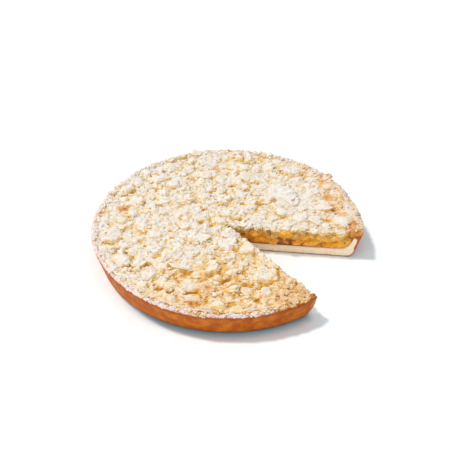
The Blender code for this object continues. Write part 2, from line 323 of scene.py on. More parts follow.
def smooth_chain(corners, step):
    """Cuts the corners of an open outline twice at their quarter points, then spaces points
    evenly along it, about step apart."""
    chain = np.array(corners, float)
    for _ in range(2):
        near = 0.75 * chain[:-1] + 0.25 * chain[1:]
        far = 0.25 * chain[:-1] + 0.75 * chain[1:]
        chain = np.concatenate([chain[:1], np.stack([near, far], 1).reshape(-1, 2), chain[-1:]])
    length = np.concatenate([[0], np.cumsum(np.linalg.norm(np.diff(chain, axis=0), axis=1))])
    even = np.linspace(0, length[-1], int(length[-1] / step) + 1)
    return np.stack([np.interp(even, length, chain[:, n]) for n in (0, 1)], -1)


def rim_swell(turn):
    """How far the rim strays from a circle: a bulge on the left, and three slow ripples."""
    left = (turn % (2 * math.pi)) - math.pi
    bulge = 1.2 * np.cos(5 * left) * np.exp(-((left / math.radians(40)) ** 2))
    ripple = 0.28 * np.sin(3 * turn + 0.6) + 0.2 * np.sin(7 * turn + 2.1) + 0.1 * np.sin(17 * turn)
    return (bulge + ripple) * MM


def along_rim(x, y, turns, values):
    """A value that changes along the rim, given at some turns in degrees."""
    return np.interp(np.degrees(np.arctan2(y, x)), turns, values, period=360)


def rim_sugared(x, y):
    """How thick the sugar lies on the rim, from 0 to 1: little near the front cut and on the right."""
    return along_rim(x, y, [-84, -76, -68, -52, -7, 60, 100, 200], [1, 0.7, 0.12, 0.05, 0.2, 0.4, 0.8, 1])


OUTER_CORNERS = [
    (0, 0),
    (FLOOR_RADIUS - 5.0 * MM, 0),
    (FLOOR_RADIUS - 0.2 * MM, 1.0 * MM),
    (FLOOR_RADIUS + 1.7 * MM, 5.0 * MM),
    (RIM_RADIUS - 1.0 * MM, RIM_HEIGHT - 5.0 * MM),
    (RIM_RADIUS + 0.3 * MM, RIM_HEIGHT - 1.8 * MM),
    (RIM_RADIUS - 1.0 * MM, RIM_HEIGHT + 0.1 * MM),
    (RIM_RADIUS - 3.0 * MM, RIM_HEIGHT + 0.1 * MM),
]
INNER_CORNERS = [
    (0, BASE_THICK),
    (FLOOR_RADIUS - 15 * MM, BASE_THICK),
    (FLOOR_RADIUS - 8 * MM, BASE_THICK + 2.1 * MM),
    (FLOOR_RADIUS - 4.6 * MM, BASE_THICK + 6.5 * MM),
    (RIM_RADIUS - RIM_THICK - 1.4 * MM, RIM_HEIGHT - 3.6 * MM),
    (RIM_RADIUS - RIM_THICK + 0.6 * MM, RIM_HEIGHT - 0.6 * MM),
    (RIM_RADIUS - 3.0 * MM, RIM_HEIGHT + 0.1 * MM),
]
CRUST_ROWS, CRUST_TURNS, OUTLINE_STEP = 9, 420, 1.5 * MM
outer = smooth_chain(OUTER_CORNERS, OUTLINE_STEP)
inner = smooth_chain(INNER_CORNERS, OUTLINE_STEP)
stations = np.linspace(0, 1, len(outer))
inner = np.stack([np.interp(stations, np.linspace(0, 1, len(inner)), inner[:, n]) for n in (0, 1)], -1)
through = np.linspace(0, 1, CRUST_ROWS)[:, None, None]
crust_rows = outer * (1 - through) + inner * through
crust_rows[1:-1, -1] += np.array([0, 0.02 * MM])
crust_turns = REAR_CUT + KEPT * np.linspace(0, 1, CRUST_TURNS)
points, k, i, j, faces = sweep(crust_rows, crust_turns, (0, 0))
radius = np.hypot(points[:, 0], points[:, 1])
share = np.clip((points[:, 2] - 2 * MM) / (20 * MM), 0, 1) * (radius > 0.11)
points[:, :2] *= (1 + rim_swell(crust_turns[j]) * share / np.maximum(radius, 0.01))[:, None]
points[:, 2] += 0.35 * MM * noise(points * [1, 1, 0], 31 * MM, 5) * share
at_cut, way = cut_faces(crust_turns, i, j)
slip = 0.35 * rough(points, 3.2 * MM, 11) - 0.5 * np.clip(noise(points, 1.7 * MM, 12) - 0.45, 0, 1)
points += way * (slip * at_cut * (k > 0) * (k < CRUST_ROWS - 1) * MM)[:, None]
outside = (k == 0) & ~at_cut
uneven = 0.16 * MM * rough(points, 4 * MM, 21) * outside * (points[:, 2] > 1 * MM)
points += uneven[:, None] * np.array([1, 1, 0.3]) * np.sign(points)

# How far under the brown skin each point of a cut lies, in millimetres
DEEPEST, FARTHEST_FROM_RIM = 7.5, 40
deep = k / (CRUST_ROWS - 1) * DEEPEST
skin = np.where(at_cut, np.minimum(deep, (1 - i / len(outer)) * FARTHEST_FROM_RIM), 0)

# Both ends of the wall are rounded over, as dough shrinks back from a corner
behind = [off_cut(points[:, 0], points[:, 1], cut) for cut in (FRONT_CUT, REAR_CUT)]
near = np.minimum(*behind) / (9 * MM)
near = np.clip(1 - near, 0, 1) ** 2 * (points[:, 0] > 50 * MM)
radius = np.hypot(points[:, 0], points[:, 1])
wall_outline = [(0, 0.122), (5 * MM, 0.1287), (23 * MM, 0.134), (RIM_HEIGHT, RIM_RADIUS)]
wall_radius = np.interp(points[:, 2], *np.array(wall_outline).T)
share = np.clip(1 - (wall_radius - radius) / (8 * MM), 0, 1.2)
points[:, :2] *= (1 - near * share * 2.0 * MM / np.maximum(radius, 0.01))[:, None]
points[:, 2] -= near * share * np.clip(points[:, 2] / RIM_HEIGHT - 0.7, 0, 1) * 5 * MM
bulge = np.clip(1 - ((points[:, 2] - 16 * MM) / (14 * MM)) ** 2, 0, 1) * np.clip(share, 0, 1)
points += way * ((j == len(crust_turns) - 1) * bulge * 2.4 * MM)[:, None]
skin = skin - 1.6 * share * (points[:, 2] > 10 * MM) - 1.5 * np.clip(points[:, 2] / (6 * MM) - 3, 0, 1)
sugared = rim_sugared(points[:, 0], points[:, 1])
crust = piece("crust_shell", points, faces, {"skin": skin, "sugared": sugared})

BROWN = srgb(184, 86, 14)
DEEP_BROWN = srgb(150, 62, 16)
GOLD = srgb(212, 120, 36)
PALE_CRUMB = srgb(255, 234, 206)
crust_finish, place, shader = new_finish("baked_crust")
skin_depth = value_of(place, "skin")
height_up = place.node("SeparateXYZ", out="Z", Vector=place)
mottle = place.speckle(9 * MM, 3)
pores = place.speckle(1.3 * MM, 2)
wall = mottle.band(0.35, 0.68).mix(BROWN, GOLD)
wall = (height_up.band(20 * MM, 27 * MM) * 0.6).mix(wall, DEEP_BROWN)
# Darker towards the foot of the wall: painted shade under the flared wall
wall = ((1 - height_up.band(0, 7 * MM)) * 0.5).mix(wall, DEEP_BROWN)
wall = (pores.band(0.6, 0.72) * 0.35).mix(wall, DEEP_BROWN)
up = place.node("SeparateXYZ", out="Z", Vector=place.node("NewGeometry", out="Normal"))
wall = (up.band(0.4, 0.9) * 0.7).mix(wall, GOLD)
dusted = up + place.speckle(2.3 * MM, 3, 0.75) * 4.4 + place.speckle(5 * MM, 2) * 1.2
dusted = dusted + value_of(place, "sugared") * 1.1
dusted = (dusted - 3.8).band(-0.2, 1.0) * height_up.band(25.8 * MM, 27.4 * MM)
wall = (dusted * 0.85).mix(wall, srgb(236, 218, 208))
cut = (place.speckle(2.2 * MM, 3).band(0.42, 0.62) * 0.3).mix(PALE_CRUMB, srgb(236, 198, 150))
edge = (skin_depth + mottle * 0.5).band(0.5, 1.6)
link_finish(shader, edge.mix(wall, cut), mottle * 0.3 + 0.45, pores + mottle, 0.5 * MM)
shader.inputs["Specular IOR Level"].default_value = 0.15
crust.data.materials.append(crust_finish)
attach(crust, "root")
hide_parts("crust")

# Apple filling
# Soft cooked apple bound with its own thickened juice. It shows only at the two cuts,
# as glossy amber and yellow pieces with dark wet hollows between them, painted darker
# the deeper they sink, as painted shade.
FILLING_TOP, FILLING_BACK = 19.6 * MM, 1.0 * MM


def stand_back(depth):
    """Where a layer's own middle goes when both its faces stand back from the cut."""
    shift = -depth / math.sin(HALF_SLICE)
    return shift * math.cos(CUT_MIDDLE), shift * math.sin(CUT_MIDDLE)


INNER_WALL = [
    (BASE_THICK, FLOOR_RADIUS - 15 * MM),
    (BASE_THICK + 0.7 * MM, FLOOR_RADIUS - 11 * MM),
    (BASE_THICK + 2.1 * MM, FLOOR_RADIUS - 8 * MM),
    (BASE_THICK + 6.5 * MM, FLOOR_RADIUS - 4.6 * MM),
    (RIM_HEIGHT - 3.6 * MM, RIM_RADIUS - RIM_THICK - 1.4 * MM),
    (RIM_HEIGHT - 1.0 * MM, RIM_RADIUS - RIM_THICK + 0.4 * MM),
]


def shell_inside(height, gap):
    """Radius of the crust's inner wall at this height, less a gap."""
    return np.interp(height, *np.array(INNER_WALL).T) - gap


def layer_rows(bottom, top, count, across, gap):
    """Rows of a layer between two heights, each reaching out to the crust's inner wall."""
    heights = np.linspace(bottom, top, count)
    reach = shell_inside(heights, gap)
    return np.stack([reach[:, None] * across, np.broadcast_to(heights[:, None], (count, len(across)))], -1)


def cut_turns(first, step):
    """Angles round the kept part, close together near both cuts."""
    near = first * 2.0 ** np.arange(int(math.log2(step / first)))
    near = np.concatenate([[0], np.cumsum(near)])
    middle = np.linspace(near[-1] + step, KEPT - near[-1] - step, int((KEPT - 2 * near[-1]) / step) - 1)
    return REAR_CUT + np.concatenate([near, middle, KEPT - near[::-1]])


# Apple pieces at each cut: distance from the middle, how far they stand out, height of
# their middle, width along the cut, depth and height, in millimetres
REAR_APPLES = [
    (12, -0.2, 13.6, 13, 10, 7.5), (29, 1.0, 20.8, 18, 12, 8.5), (31, 0.3, 14.0, 21, 11, 7.5),
    (46, -0.2, 13.0, 11, 10, 6.5), (58, 1.6, 22.6, 15, 12, 8.5), (70, -0.4, 13.0, 11, 10, 6),
    (76, 0.5, 20.6, 15, 11, 7.5), (85, 0.2, 13.4, 18, 11, 8), (94, 0.9, 20.4, 18, 12, 8.5),
    (105, 0.1, 13.2, 15, 11, 7.5), (113, 0.5, 20.2, 14, 11, 8.5),
]
FRONT_APPLES = [
    (10, 0.5, 20.4, 14, 11, 8.5), (14, 0.1, 13.2, 16, 11, 7.5), (29, 0.8, 20.6, 17, 12, 8.5),
    (36, 0.0, 13.0, 19, 11, 7.5), (50, 0.4, 20.0, 15, 11, 7.5), (58, 0.3, 13.2, 17, 11, 8),
    (70, 0.8, 20.8, 18, 12, 8.5), (79, 0.0, 13.0, 16, 11, 7), (91, 0.5, 20.2, 16, 12, 8),
    (101, 0.2, 13.4, 17, 11, 8), (112, 0.7, 20.4, 13, 11, 8.5),
]
LAYER_GAP, FILLING_ROWS = 0.3 * MM, 14
across = np.linspace(0, 1, 150)
filling_rows = layer_rows(BASE_THICK + LAYER_GAP, FILLING_TOP, FILLING_ROWS, across, LAYER_GAP)
filling_turns = cut_turns(math.radians(0.4), math.radians(7))
points, k, i, j, faces = sweep(filling_rows, filling_turns, stand_back(FILLING_BACK))
at_cut, way = cut_faces(filling_turns, i, j)
side = np.where(j == 0, 1.0, -1.0)
sag = 1.3 * rough(points, 6 * MM, 31) + 0.5 * rough(points, 2 * MM, 34)
sag -= 1.2 * np.clip(noise(points, 9 * MM, 33) - 0.1, 0, 1)
points += way * (np.where(at_cut & (k > 0), np.clip(-side * sag, -1.6, 1.6), 0) * MM)[:, None]
points[:, 2] += np.where(k == FILLING_ROWS - 1, 0.8 * MM * noise(points, 14 * MM, 36), 0)
filling = piece("apple_layer", points, faces, {"hollow": np.clip(-sag, -2, 2)})


def ball(kind):
    """Points on a unit ball and its triangles: 20, 48, 320 or 1280 of them."""
    made = bmesh.new()
    if kind == 48:
        bmesh.ops.create_uvsphere(made, u_segments=8, v_segments=4, radius=1)
    else:
        bmesh.ops.create_icosphere(made, subdivisions={20: 1, 320: 3, 1280: 4}[kind], radius=1)
    bmesh.ops.triangulate(made, faces=made.faces)
    spots = np.array([tuple(v.co) for v in made.verts])
    sides = np.array([[v.index for v in f.verts] for f in made.faces])
    made.free()
    return spots, sides


def lumps_mesh(kind, places, sizes, turns, seed, planes, graininess, flat_top=1.0, slant=0.22):
    """One closed lump for each place, as broken dough or fruit breaks: the space inside some
    random planes (radius = least of plane offset / cosine to the plane), the first of them
    level and flat_top above the middle, softened, then made grainy, scaled to width, depth
    and height, tilted and turned. Whole arrays."""
    rng = np.random.default_rng(seed)
    spots, sides = ball(kind)
    count = len(places)
    normals = rng.normal(size=(count, planes, 3))
    normals[:, 0] = (0, 0, 1)
    normals /= np.linalg.norm(normals, axis=-1, keepdims=True)
    offsets = rng.uniform(0.72, 1.02, (count, 1, planes))
    offsets[:, :, 0] = flat_top
    facing = np.einsum("mc,npc->nmp", spots, normals)
    reach = offsets / np.maximum(facing, 0.22)
    reach = 0.83 * (np.minimum(reach, 1.35) ** -12).mean(axis=-1) ** (-1 / 12)
    shifted = spots[None] + rng.uniform(-40, 40, (count, 1, 3))
    grain = graininess * rough(shifted, 0.45 if kind > 48 else 0.6, seed, 3)
    shape = spots[None] * (reach * (1 + grain))[..., None]
    shape *= sizes[:, None, :] / 2
    lean = rng.normal(0, slant, (count, 2))
    shape[..., 2] += shape[..., 0] * lean[:, :1] + shape[..., 1] * lean[:, 1:]
    co, si = np.cos(turns)[:, None], np.sin(turns)[:, None]
    u, v = shape[..., 0], shape[..., 1]
    turned = np.stack([u * co - v * si, u * si + v * co, shape[..., 2]], -1)
    points = turned + places[:, None, :]
    faces = sides[None] + len(spots) * np.arange(count)[:, None, None]
    return points.reshape(-1, 3), [faces.reshape(-1, 3)], len(spots)


def beside_cut(out, inside, angle, side):
    """The place this far out along a cut and this far inside the pie."""
    x = out * np.cos(angle) - side * inside * np.sin(angle)
    y = out * np.sin(angle) + side * inside * np.cos(angle)
    return x, y


places, sizes, turns = [], [], []
for angle, side, apples in ((REAR_CUT, 1, REAR_APPLES), (FRONT_CUT, -1, FRONT_APPLES)):
    for number, (out, proud, middle, wide, depth, tall) in enumerate(apples):
        places.append((*beside_cut(out, depth / 2 - proud - 0.8, angle, side), middle))
        sizes.append((wide * 1.12, depth * 1.12, tall * 1.1))
        turns.append(angle + 0.25 * math.sin(2.7 * number + side))
places, sizes = np.array(places) * MM, np.array(sizes) * MM
points, faces, each = lumps_mesh(1280, places, sizes, np.array(turns), 61, 7, 0.1, slant=0.12)
tone = np.repeat(np.random.default_rng(62).uniform(0, 1, len(places)), each)
apples = piece("apple_pieces", points, faces, {"tone": tone})

AMBER, YELLOW, JUICE_AND_PAINTED_SHADE = srgb(224, 124, 0), srgb(252, 186, 46), srgb(96, 40, 4)
for thing, bright in ((filling, False), (apples, True)):
    fruit, place, shader = new_finish("cooked_apple" if bright else "apple_juice")
    cloud = place.speckle(5 * MM, 3)
    fibre = place.speckle(1.4 * MM, 3)
    flesh = cloud.band(0.35, 0.65).mix(AMBER, YELLOW)
    if bright:
        flesh = (value_of(place, "tone") * 0.55).mix(flesh, YELLOW)
    else:
        # Dark juice in the hollows, and painted shade that deepens with their depth
        flesh = (value_of(place, "hollow").band(0.1, 1.4) * 0.8).mix(flesh, JUICE_AND_PAINTED_SHADE)
    link_finish(shader, flesh, fibre * 0.25 + 0.16, fibre + cloud, 0.5 * MM)
    shader.inputs["Subsurface Weight"].default_value = 0.25
    shader.inputs["Subsurface Radius"].default_value = (1.0, 0.5, 0.15)
    shader.inputs["Subsurface Scale"].default_value = 2.5 * MM
    thing.data.materials.append(fruit)
    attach(thing, "root")
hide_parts("apple_filling")

# Crumble bed
# Butter crumbs baked into one rough bed. It is a height over the pie: a gentle crown,
# then clumps and lumps of every size set down on it, largest first.
CRUMBLE_EDGE, CRUMBLE_MIDDLE, CRUMBLE_BACK = 27.8 * MM, 28.0 * MM, 2.0 * MM
# The clumps that stand out: place, width and depth in millimetres, and turn in degrees
CLUMPS = [
    (20, -37, 13, 15, -50), (3, -15, 18, 12, 10), (-1, -32, 18, 13, -20), (-71, 79, 17, 12, 30),
    (-61, 99, 13, 11, 20), (-23, 86, 13, 11, -10), (26, 80, 26, 13, 5), (-71, -37, 15, 16, 40),
    (-33, -18, 28, 14, -15), (-38, -1, 18, 11, 0), (-27, 14, 16, 12, 0), (-112, -18, 16, 14, 70),
    (-102, -54, 18, 12, -40), (-85, -58, 13, 11, 10), (-44, -65, 19, 9, 0), (-35, -94, 19, 12, 5),
    (-19, -96, 16, 14, -30), (-32, -110, 14, 10, -15), (34, -78, 28, 17, 12), (55, 55, 31, 25, -25),
    (75, 12, 17, 14, 12), (89, 7, 15, 12, 30), (67, 97, 21, 15, -35), (98, 29, 16, 13, -20),
    (115, 4, 14, 14, 70), (104, 82, 13, 9, 38), (124, 5, 8, 7, 0), (45, 122, 9, 6, 70),
    (-122, 40, 9, 6, -18), (-61, 113, 9, 7, 20), (-48, 120, 8, 7, 12), (-34, 125, 13, 8, 10),
    (-22, 128, 7, 5, 40), (-55, 107, 10, 8, -20), (-39, 114, 9, 7, 40),
]
# The seeded clumps: size in millimetres and how many. Each takes the roomiest of some tries.
SIZES = [(12.5, 14), (9.5, 40), (7.5, 42)]
SEED, TRIES = 41, 40
# Open hollows between the lumps, where golden dough shows, with warm shade painted in: place,
# width and depth in millimetres. Most were found by a scratch program that searched the photo
# for dark spots.
HOLLOWS = [
    (36, -92, 9, 5), (-38, -72, 8, 5), (-26, 5, 8, 4), (-39, 82, 8, 4), (-32, -118, 15, 6),
    (-11, 99, 14, 5), (3, 99, 6, 4), (38, 116, 7, 4), (99, 9, 12, 5), (-105, 28, 9, 6),
    (-74, 63, 5, 5), (25, -47, 5, 5), (-57, -6, 5, 4), (16, 37, 7, 5), (-16, -29, 6, 7),
    (-24, 27, 7, 5), (26, -111, 9, 6), (101, 77, 9, 8), (-59, 13, 6, 4), (-54, -18, 7, 4),
    (-64, -96, 10, 5), (-70, 94, 9, 5), (115, 53, 8, 6), (-36, 63, 4, 5), (40, -118, 8, 5),
    (-48, -83, 7, 4), (-82, 55, 7, 4), (75, -103, 13, 7), (46, -119, 9, 5), (41, -63, 9, 5),
    (-3, -83, 15, 5), (-24, 82, 5, 4), (-47, 11, 7, 4), (-14, -51, 6, 5), (65, 35, 4, 5),
    (12, 12, 7, 4), (107, 26, 5, 6), (-55, -103, 6, 5), (-32, -99, 13, 5), (-78, -59, 12, 6),
    (83, 96, 12, 6), (34, 37, 6, 4), (-99, -35, 5, 5), (-15, -98, 12, 5), (17, -91, 11, 6),
    (4, 69, 10, 4), (5, -37, 7, 5), (-68, -47, 9, 6), (-16, 1, 5, 5), (-54, -69, 6, 4),
    (102, 48, 10, 6),
]


def on_floor(x, y):
    """These places as points at height 0, for the noise."""
    return np.stack([x, y, 0 * x], -1)


def bed_height(x, y):
    """Height of the bed between the lumps: a low crown, worn down along the front cut."""
    share = np.minimum(np.hypot(x, y) / (0.93 * RIM_RADIUS), 1.0)
    base = CRUMBLE_MIDDLE + (CRUMBLE_EDGE - CRUMBLE_MIDDLE) * share**3
    worn = np.clip(1 - off_cut(x, y, FRONT_CUT) / (15 * MM), 0, 1) * (x > 0) * share**2
    worn *= 1 + 1.6 * np.exp(-(((np.hypot(x, y) - 92 * MM) / (16 * MM)) ** 2))
    flat = on_floor(x, y)
    waves = 0.9 * rough(flat, 17 * MM, 71, 2) + 0.45 * rough(flat, 4.5 * MM, 75, 2)
    return base - 1.6 * MM * worn + waves * MM


def on_pie(x, y, room, edge=6.5 * MM):
    """Whether lumps with this half width stand on the pie, clear of its edge and the cut."""
    radius, angle = np.hypot(x, y), np.arctan2(y, x)
    turn = np.abs((angle - CUT_MIDDLE + math.pi) % (2 * math.pi) - math.pi)
    beside = radius * np.sin(np.minimum(turn - HALF_SLICE, math.pi / 2))
    clear = (turn > HALF_SLICE + math.pi / 2) | (beside > room)
    return clear & (turn > HALF_SLICE) & (radius < RIM_RADIUS - edge - room)


def hollow_share(x, y):
    """1 in the middle of a hollow and 0 outside all: exp(-(u^2 + v^2)^1.5), u and v in half
    widths, pushed about by noise so that no outline is even."""
    flat = on_floor(x, y)
    x = x + 1.3 * MM * rough(flat, 4 * MM, 181, 2)
    y = y + 1.3 * MM * rough(flat, 4 * MM, 185, 2)
    share = np.zeros(np.shape(x))
    for a, b, wide, depth in np.array(HOLLOWS) * MM:
        u, v = (x - a) / (wide / 2), (y - b) / (depth / 2)
        share = np.maximum(share, np.exp(-((u**2 + v**2) ** 1.5)))
    return share


def near_front(x, y):
    """0 at the back and 1 at the front, where less sugar fell and the dough shows more."""
    return np.clip((-30 * MM - y + 0.3 * x) / (65 * MM), 0, 1)


clumps = [(x * MM, y * MM, w * MM, d * MM, math.radians(t)) for x, y, w, d, t in CLUMPS]
rng = np.random.default_rng(SEED)
for size, count in SIZES:
    for _ in range(count):
        x, y = rng.uniform(-RIM_RADIUS, RIM_RADIUS, (TRIES, 2)).T
        fits = on_pie(x, y, 0.31 * size * MM, (6.5 - 0.01 * size) * MM)
        room = [np.hypot(x - a, y - b) - 0.25 * (w + d) for a, b, w, d, _ in clumps]
        room += [np.hypot(x - a * MM, y - b * MM) for a, b, _, _ in HOLLOWS]
        best = np.argmax(np.where(fits, np.min(room, axis=0), -1))
        wide, depth = size * rng.uniform(0.85, 1.2), size * rng.uniform(0.75, 1.0)
        clumps.append((x[best], y[best], wide * MM, depth * MM, rng.uniform(0, math.pi)))
clumps = np.array(clumps)

CELL = 0.8 * MM
HALF = 140 * MM
axis = np.arange(-HALF, HALF + CELL, CELL)
bed_x, bed_y = np.meshgrid(axis, axis, indexing="ij")


def plates(x, y, size, seed):
    """Broken plates: a point belongs to the nearest of the random spots, one in each square
    of this size. Returns the plate's own height and tilt there, about -1 to 1, and how much
    nearer its spot is than the next one."""
    u, v = x / size, y / size
    cell_u, cell_v = np.floor(u).astype(np.int64), np.floor(v).astype(np.int64)
    first, second, level = np.full(x.shape, 9.0), np.full(x.shape, 9.0), np.zeros(x.shape)
    for a, b in ((a, b) for a in (-1, 0, 1) for b in (-1, 0, 1)):
        at = (cell_u + a, cell_v + b)
        du = at[0] + 0.5 + 0.45 * chance(*at, 0, seed) - u
        dv = at[1] + 0.5 + 0.45 * chance(*at, 1, seed) - v
        far = np.hypot(du, dv)
        tilted = chance(*at, 2, seed) + 0.8 * (du * chance(*at, 3, seed) + dv * chance(*at, 4, seed))
        level = np.where(far < first, tilted, level)
        second = np.where(far < first, first, np.minimum(second, far))
        first = np.minimum(first, far)
    return level, (second - first) * size


# Size of the plates, how much their heights differ, depth of the cracks between them and seed
PLATES = [(10, 0.55, 1.4, 201), (5.0, 0.6, 1.1, 211), (2.8, 0.45, 0.6, 221)]
bed = bed_height(bed_x, bed_y)
flat = on_floor(bed_x, bed_y)
at_rim = np.clip((np.hypot(bed_x, bed_y) - RIM_RADIUS) / (9 * MM) + 2, 0, 1)
bed += 0.9 * MM * at_rim
warp_x = 1.6 * MM * rough(flat, 8 * MM, 91, 2)
warp_y = 1.6 * MM * rough(flat, 8 * MM, 95, 2)
for size, lift, crack, seed in PLATES:
    level, gap = plates(bed_x + warp_x, bed_y + warp_y, size * MM, seed)
    opened = np.clip(0.4 + 1.6 * noise(flat, 1.2 * size * MM, seed + 9), 0, 1)
    cracks = crack * opened * np.exp(-((gap / (1.5 * MM)) ** 2))
    bed += (lift * level - cracks) * MM * (1 - 0.7 * at_rim)


def sample(field, x, y):
    """Value of a field on the bed's grid at x, y, blended from the four nearest cells."""
    u, v = (np.clip((c + HALF) / CELL, 0, len(axis) - 1.001) for c in (x, y))
    a, b = u.astype(int), v.astype(int)
    s, t = u - a, v - b
    low = field[a, b] * (1 - s) + field[a + 1, b] * s
    high = field[a, b + 1] * (1 - s) + field[a + 1, b + 1] * s
    return low * (1 - t) + high * t


def soften(field, size):
    """The field blurred by a bell curve of this size, by way of its frequencies."""
    f = np.fft.fftfreq(len(axis), CELL)
    keep = np.exp(-2 * (math.pi * size) ** 2 * (f[:, None] ** 2 + f[None, :] ** 2))
    return np.real(np.fft.ifft2(np.fft.fft2(field) * keep))


def set_down(x, y, wide, depth, tall, turn, sink):
    """Raises the bed to the top of each lump in turn: tall * (1 - u^4 - v^4)^0.5 above the
    bed at its middle less sink, u and v in half widths, with sides cut off by the bed."""
    for a, b, w, d, h, t, s in zip(x, y, wide, depth, tall, turn, sink):
        n = int(0.62 * max(w, d) / CELL) + 2
        ia, ib = int((a + HALF) / CELL), int((b + HALF) / CELL)
        part = (slice(max(ia - n, 0), ia + n + 1), slice(max(ib - n, 0), ib + n + 1))
        px, py = bed_x[part] + warp_x[part] - a, bed_y[part] + warp_y[part] - b
        co, si = math.cos(t), math.sin(t)
        u, v = (px * co + py * si) / (w / 2), (-px * si + py * co) / (d / 2)
        dome = np.sqrt(np.clip(1 - np.abs(u) ** 4 - np.abs(v) ** 4, 0, 1))
        top = bed[ia, ib] - s + h * dome
        bed[part] = np.where(dome > 0, np.maximum(bed[part], top), bed[part])


x, y, wide, depth, turn = clumps.T
inner = np.hypot(x, y) < RIM_RADIUS - 9 * MM
least = np.minimum(wide, depth)
BROAD = 12 * MM
values = [x, y, wide, depth, 0.2 * np.minimum(least, BROAD) + 1.6 * MM, turn, 0.8 * MM + 0 * x]
set_down(*(value[inner] for value in values))
rng = np.random.default_rng(SEED + 5)
MIDDLE_LUMPS, SMALL_LUMPS = 900, 5200
for low, high, count in ((4.5, 7.5, MIDDLE_LUMPS), (2.4, 4.4, SMALL_LUMPS)):
    x, y = rng.uniform(-RIM_RADIUS, RIM_RADIUS, (2, count))
    wide = low + (high - low) * rng.uniform(0, 1, count) ** 1.6
    depth = wide * rng.uniform(0.65, 1.0, count)
    good = on_pie(x, y, 0.1 * wide * MM)
    turn = rng.uniform(0, math.pi, count)
    values = [x, y, wide * MM, depth * MM, 0.46 * depth * MM, turn, 0.22 * depth * MM]
    set_down(*(value[good] for value in values))
hollow_depth = 2.1 + 0.7 * near_front(bed_x, bed_y) + 1.1 * noise(flat, 2.2 * MM, 231)
bed -= hollow_depth * MM * hollow_share(bed_x, bed_y) * (1 - at_rim)
bed_mean = soften(bed, 5 * MM)
heap = np.where(np.hypot(bed_x, bed_y) > RIM_RADIUS - 6.2 * MM, RIM_HEIGHT - 0.2 * MM, bed)

# Where the sugar lies thickest, and where the oven browned the dough: place and radius in
# millimetres, and strength. Ten white places, from (-38, -92) on, come from the same search.
WHITE_PATCHES = [
    (72, -95, 28, -0.5), (-38, -92, 8, 0.6), (25, 7, 10, 0.4), (35, -102, 6, 0.6),
    (35, -78, 10, 0.55), (15, -104, 9, 0.5), (-75, -36, 7, 0.4), (-11, -112, 8, 0.5),
    (-39, -108, 7, 0.5), (-80, -78, 11, 0.4), (118, 1, 6, 0.4), (58, 56, 16, 1.0),
    (74, 40, 13, 0.7), (82, 8, 15, 0.45), (-29, 112, 30, 0.2), (-82, 84, 30, 0.2),
    (-20, -18, 22, 0.2), (-85, 5, 45, 0.12),
]
TOASTED_PATCHES = [
    (-107, 28, 7, 1.0), (37, 118, 5, 0.5), (80, 94, 7, 0.5), (99, 71, 5, 0.5), (104, 50, 7, 0.45),
    (109, 27, 6, 0.4), (96, 9, 5, 0.5), (126, 3, 6, 0.8), (124, -17, 8, 0.8), (-126, 19, 5, 0.4),
    (-68, 93, 4, 0.5), (-38, 82, 4, 0.6), (-12, 99, 5, 0.6), (-74, 63, 3, 0.5), (-89, -9, 6, 0.35),
    (-60, -73, 5, 0.5), (-43, -75, 5, 0.7), (-37, -91, 5, 0.6), (-19, -97, 6, 1.0),
    (-31, -119, 9, 0.9), (105, 85, 8, 0.8), (99, -40, 9, 0.6), (128, -12, 9, 0.9),
    (123, 60, 24, 0.5), (117, 20, 18, 0.4), (92, 96, 14, 0.4), (74, -98, 18, 0.5),
    (52, -114, 13, 0.45),
]


def patches(x, y, spots):
    """Sum of bell curves: strength * exp(-(distance / radius)^2) for each patch."""
    return sum(s * np.exp(-((x - a * MM) ** 2 + (y - b * MM) ** 2) / (r * MM) ** 2) for a, b, r, s in spots)


CUT_FACE_TOP = 24.5 * MM


def looks_at(points):
    """What the crumble's finish needs to know at each point: how far it lies below its
    surroundings in millimetres, which the finish turns into painted shade, how thick the
    sugar is, how toasted the dough is, and how golden it is in the open hollows, partly as
    bare dough and partly as painted warm shade."""
    x, y = points[:, 0], points[:, 1]
    front = near_front(x, y)
    sugar = patches(x, y, WHITE_PATCHES) - 0.56 * front
    low = np.maximum((sample(bed_mean, x, y) - points[:, 2]) / MM, -0.6)
    golden = hollow_share(x, y) * (0.8 + 0.2 * front) * np.clip(low, 0, 1)
    cut_face = points[:, 2] < CUT_FACE_TOP
    low, golden = np.where(cut_face, 0.8, low), np.where(cut_face, 0.55, golden)
    toast = patches(x, y, TOASTED_PATCHES)
    return {"hollow": low, "sugar": sugar, "toast": toast, "golden": golden}


BED_ROWS, BED_TURNS, INTO_CRUST = 7, 600, 1.8 * MM
bed_rows = layer_rows(FILLING_TOP + LAYER_GAP, CRUMBLE_EDGE, BED_ROWS, across, -INTO_CRUST)
bed_turns = REAR_CUT + KEPT * np.linspace(0, 1, BED_TURNS)
points, k, i, j, faces = sweep(bed_rows, bed_turns, stand_back(CRUMBLE_BACK), plain_bottom=True)
top = k == BED_ROWS - 1
bed_top = sample(bed, points[:, 0], points[:, 1])
foot = points[:, 2].min()
raised = np.interp(k, [0, BED_ROWS - 1], [0, 1]) * (bed_top - foot) + foot
points[:, 2] = np.where(k > 0, raised, points[:, 2])
at_cut, way = cut_faces(bed_turns, i, j)
points += way * ((at_cut & (k > 0)) * MM * rough(points, 4 * MM, 81))[:, None]
looks = looks_at(points)
looks["hollow"] = np.where(top, looks["hollow"], 0.3)
looks["golden"] = np.where(top, looks["golden"], 0.7)
looks["toast"] = np.where(top, looks["toast"], 0.4)
crumble = piece("crumble_bed", points, faces, {**looks, "tone": np.full(len(points), 0.5)})

